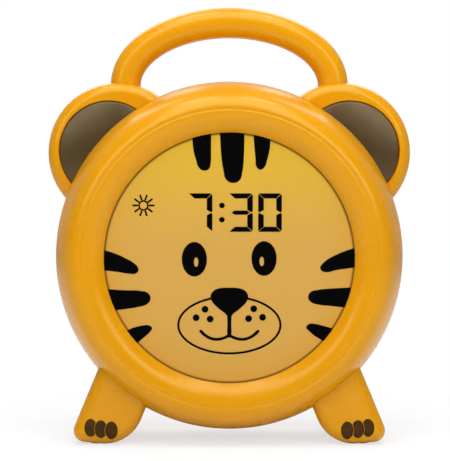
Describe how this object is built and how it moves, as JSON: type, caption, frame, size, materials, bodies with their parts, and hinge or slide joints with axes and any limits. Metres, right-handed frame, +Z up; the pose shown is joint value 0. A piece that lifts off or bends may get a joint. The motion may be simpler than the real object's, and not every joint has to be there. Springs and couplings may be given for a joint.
{
  "type": "alarm clock",
  "caption": "Round children's alarm clock with a lit animal face window, two ears, a carry handle, two paws and controls on the back.",
  "frame": {"origin": "on the table, midway between the two paws and halfway through the body's depth", "axes": "+X to the viewer's right, +Y to the back, +Z up; the window faces -Y"},
  "size_m": [0.1694, 0.072, 0.2025],
  "materials": {
    "body_plastic": "glossy orange-yellow",
    "inlay_plastic": "glossy dark brown",
    "sole_rubber": "matt",
    "window_plastic": "milky, tinted",
    "lcd_glass": "smooth",
    "diffuser_plastic": "frosted",
    "tray_plastic": "satin white",
    "circuit_board": "solder mask",
    "electronics": "black moulding",
    "led": "clear yellow",
    "button_plastic": "satin orange",
    "steel": "plated",
    "cell_jacket": "printed foil",
    "battery_plastic": "black",
    "speaker_paper": "paper cone",
    "lead_sleeve": "matt",
    "ribbon_film": "amber film"
  },
  "bodies": {
    "housing": {"front_shell": "body_plastic", "rear_shell": "body_plastic", "left_ear_cup": "body_plastic", "right_ear_cup": "body_plastic", "left_ear_back": "body_plastic", "right_ear_back": "body_plastic", "left_ear_inlay": "inlay_plastic", "right_ear_inlay": "inlay_plastic", "carry_handle": "body_plastic", "left_paw": "body_plastic", "right_paw": "body_plastic", "left_toe_pads": "inlay_plastic", "right_toe_pads": "inlay_plastic", "left_sole_pad": "sole_rubber", "right_sole_pad": "sole_rubber", "window": "window_plastic", "lcd_panel": "lcd_glass", "light_guide": "diffuser_plastic", "reflector_tray": "tray_plastic", "led_board": "circuit_board", "night_light_leds": "led", "main_board": "circuit_board", "main_board_parts": "electronics", "control_board": "circuit_board", "tact_switches": "electronics", "slide_switch_body": "steel", "usb_socket": "steel", "loudspeaker": "electronics", "speaker_cone": "speaker_paper", "battery_tray": "battery_plastic", "battery_cells": "cell_jacket", "battery_springs": "steel", "battery_contacts": "steel", "housing_screws": "steel", "ear_screws": "steel", "tray_screws": "steel", "board_screws": "steel", "battery_leads": "lead_sleeve", "speaker_leads": "lead_sleeve", "led_leads": "lead_sleeve", "display_ribbon": "ribbon_film", "control_ribbon": "ribbon_film"},
    "mode_key": {"mode_button": "button_plastic"},
    "alarm_key": {"alarm_button": "button_plastic"},
    "light_key": {"light_button": "button_plastic"},
    "minus_key": {"minus_button": "button_plastic"},
    "plus_key": {"plus_button": "button_plastic"},
    "switch_knob": {"alarm_switch": "button_plastic"},
    "door": {"battery_door": "body_plastic", "door_screw": "steel"}
  },
  "joints": [
    {"name": "mode_press", "type": "slide", "parent": "housing", "child": "mode_key", "axis": [0, -1, 0], "range_m": [0, 0.0008], "stiffness_N_per_m": 400},
    {"name": "alarm_press", "type": "slide", "parent": "housing", "child": "alarm_key", "axis": [0, -1, 0], "range_m": [0, 0.0008], "stiffness_N_per_m": 400},
    {"name": "light_press", "type": "slide", "parent": "housing", "child": "light_key", "axis": [0, -1, 0], "range_m": [0, 0.0008], "stiffness_N_per_m": 400},
    {"name": "minus_press", "type": "slide", "parent": "housing", "child": "minus_key", "axis": [0, -1, 0], "range_m": [0, 0.0008], "stiffness_N_per_m": 400},
    {"name": "plus_press", "type": "slide", "parent": "housing", "child": "plus_key", "axis": [0, -1, 0], "range_m": [0, 0.0008], "stiffness_N_per_m": 400},
    {"name": "alarm_slide", "type": "slide", "parent": "housing", "child": "switch_knob", "axis": [1, 0, 0], "range_m": [0, 0.004]},
    {"name": "door_hinge", "type": "hinge", "parent": "housing", "child": "door", "pos_m": [0, 0.0347, 0.0406], "axis": [-1, 0, 0], "range_deg": [0, 100]}
  ]
}
